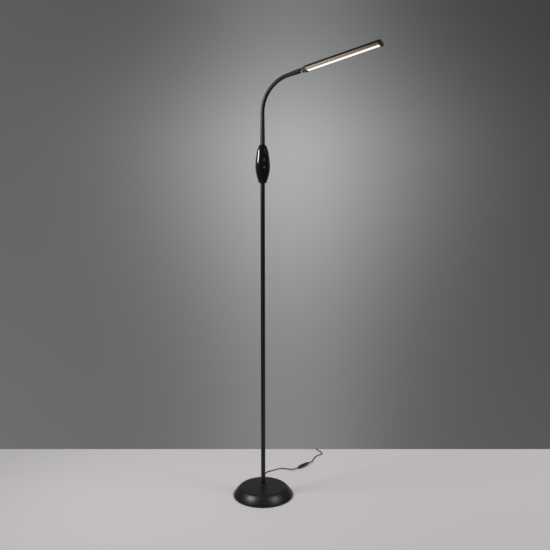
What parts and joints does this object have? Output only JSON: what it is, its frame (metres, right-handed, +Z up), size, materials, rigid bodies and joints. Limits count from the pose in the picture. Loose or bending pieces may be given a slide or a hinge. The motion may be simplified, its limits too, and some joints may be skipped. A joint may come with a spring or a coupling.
{
  "type": "gooseneck reading floor lamp",
  "caption": "Slim black floor lamp: round weighted base, screwed pole, push-button housing, bendable gooseneck and long flat lit head, with low-voltage lead and plug-in adapter.",
  "frame": {"origin": "on the floor at the middle of the round base", "axes": "+Z up along the pole, +X from the pole towards the tip of the lit head at rest"},
  "size_m": [0.4794, 0.6977, 1.4525],
  "materials": {
    "satin_black_metal": "satin black powder coat",
    "cast_ballast": "rough cast",
    "bare_steel": "zinc plated",
    "soft_pad": "matt foam sheet",
    "cord_rubber": "soft satin",
    "turned_brass": "turned",
    "gloss_black_shell": "polished",
    "button_plastic": "satin",
    "circuit_board": "white solder mask",
    "board_parts": "moulded",
    "coupling_plastic": "moulded satin",
    "tie_fabric": "woven hook and loop",
    "adapter_plastic": "fine spark texture",
    "plated_pins": "nickel plated",
    "bright_ring": "polished",
    "head_black": "satin black",
    "side_band": "glossy smoke bronze",
    "opal_panel": "opal, lit warm white",
    "led_chips": "phosphor",
    "neck_sleeve": "matt silicone",
    "wound_hose": "wound steel"
  },
  "bodies": {
    "stand": {"base_shell": "satin_black_metal", "base_weight": "cast_ballast", "base_plate": "bare_steel", "base_pad": "soft_pad", "pole_bolt": "bare_steel", "pole_nut": "bare_steel", "foot_collar": "satin_black_metal", "cable_grommet": "cord_rubber", "inner_cable": "cord_rubber", "pole_lower": "satin_black_metal", "pole_middle": "satin_black_metal", "pole_upper": "satin_black_metal", "pole_inserts": "turned_brass", "pole_studs": "bare_steel", "control_front": "gloss_black_shell", "control_rear": "gloss_black_shell", "control_board": "circuit_board", "board_parts": "board_parts", "pole_socket": "turned_brass", "neck_fitting_lower": "bare_steel", "case_screws": "bare_steel", "neck_sleeve_01": "neck_sleeve", "neck_hose_01": "wound_hose", "lamp_lead": "cord_rubber", "dc_socket": "coupling_plastic", "dc_plug": "coupling_plastic", "adapter_lead": "cord_rubber", "adapter_coil": "cord_rubber", "coil_tie": "tie_fabric", "power_adapter": "adapter_plastic", "adapter_pins": "plated_pins"},
    "neck_02": {"neck_sleeve_02": "neck_sleeve", "neck_hose_02": "wound_hose"},
    "neck_03": {"neck_sleeve_03": "neck_sleeve", "neck_hose_03": "wound_hose"},
    "neck_04": {"neck_sleeve_04": "neck_sleeve", "neck_hose_04": "wound_hose"},
    "neck_05": {"neck_sleeve_05": "neck_sleeve", "neck_hose_05": "wound_hose"},
    "neck_06": {"neck_sleeve_06": "neck_sleeve", "neck_hose_06": "wound_hose"},
    "neck_07": {"neck_sleeve_07": "neck_sleeve", "neck_hose_07": "wound_hose"},
    "neck_08": {"neck_sleeve_08": "neck_sleeve", "neck_hose_08": "wound_hose"},
    "neck_09": {"neck_sleeve_09": "neck_sleeve", "neck_hose_09": "wound_hose"},
    "head": {"neck_sleeve_10": "neck_sleeve", "neck_hose_10": "wound_hose", "neck_fitting_upper": "bright_ring", "head_root_cap": "head_black", "head_housing": "head_black", "head_rails": "side_band", "head_panel": "opal_panel", "led_strip": "circuit_board", "leds": "led_chips", "head_tip_cap": "head_black", "head_grub_screw": "bare_steel"},
    "lower_button": {"button_lower": "button_plastic"},
    "upper_button": {"button_upper": "button_plastic"}
  },
  "joints": [
    {"name": "sway_1", "type": "hinge", "parent": "stand", "child": "neck_02", "pos_m": [0, 0, 1.195], "axis": [1, 0, 0], "range_deg": [-20, 20]},
    {"name": "lean_1", "type": "hinge", "parent": "neck_02", "child": "neck_03", "pos_m": [0, 0, 1.21], "axis": [0, 1, 0], "range_deg": [-20, 20]},
    {"name": "sway_2", "type": "hinge", "parent": "neck_03", "child": "neck_04", "pos_m": [0, 0, 1.225], "axis": [1, 0, 0], "range_deg": [-20, 20]},
    {"name": "lean_2", "type": "hinge", "parent": "neck_04", "child": "neck_05", "pos_m": [0, 0, 1.24], "axis": [0, 1, 0], "range_deg": [-20, 20]},
    {"name": "bend_1", "type": "hinge", "parent": "neck_05", "child": "neck_06", "pos_m": [0.001, 0, 1.27511], "axis": [0, 1, 0], "range_deg": [-15.1, 12.6]},
    {"name": "bend_2", "type": "hinge", "parent": "neck_06", "child": "neck_07", "pos_m": [0.00887, 0, 1.30429], "axis": [0, 1, 0], "range_deg": [-15.1, 12.6]},
    {"name": "bend_3", "type": "hinge", "parent": "neck_07", "child": "neck_08", "pos_m": [0.02407, 0, 1.33041], "axis": [0, 1, 0], "range_deg": [-15.1, 12.6]},
    {"name": "bend_4", "type": "hinge", "parent": "neck_08", "child": "neck_09", "pos_m": [0.04555, 0, 1.35166], "axis": [0, 1, 0], "range_deg": [-15.1, 12.6]},
    {"name": "bend_5", "type": "hinge", "parent": "neck_09", "child": "head", "pos_m": [0.07183, 0, 1.36659], "axis": [0, 1, 0], "range_deg": [-15.1, 12.6]},
    {"name": "lower_button_press", "type": "slide", "parent": "stand", "child": "lower_button", "axis": [-0.6428, 0.766, 0], "range_m": [0, 0.0006], "stiffness_N_per_m": 800},
    {"name": "upper_button_press", "type": "slide", "parent": "stand", "child": "upper_button", "axis": [-0.6428, 0.766, 0], "range_m": [0, 0.0006], "stiffness_N_per_m": 800}
  ],
  "couplings": [
    {"joint": "sway_2", "follows": "sway_1", "ratio": 1},
    {"joint": "lean_2", "follows": "lean_1", "ratio": 1},
    {"joint": "bend_2", "follows": "bend_1", "ratio": 1},
    {"joint": "bend_3", "follows": "bend_1", "ratio": 1},
    {"joint": "bend_4", "follows": "bend_1", "ratio": 1},
    {"joint": "bend_5", "follows": "bend_1", "ratio": 1}
  ]
}
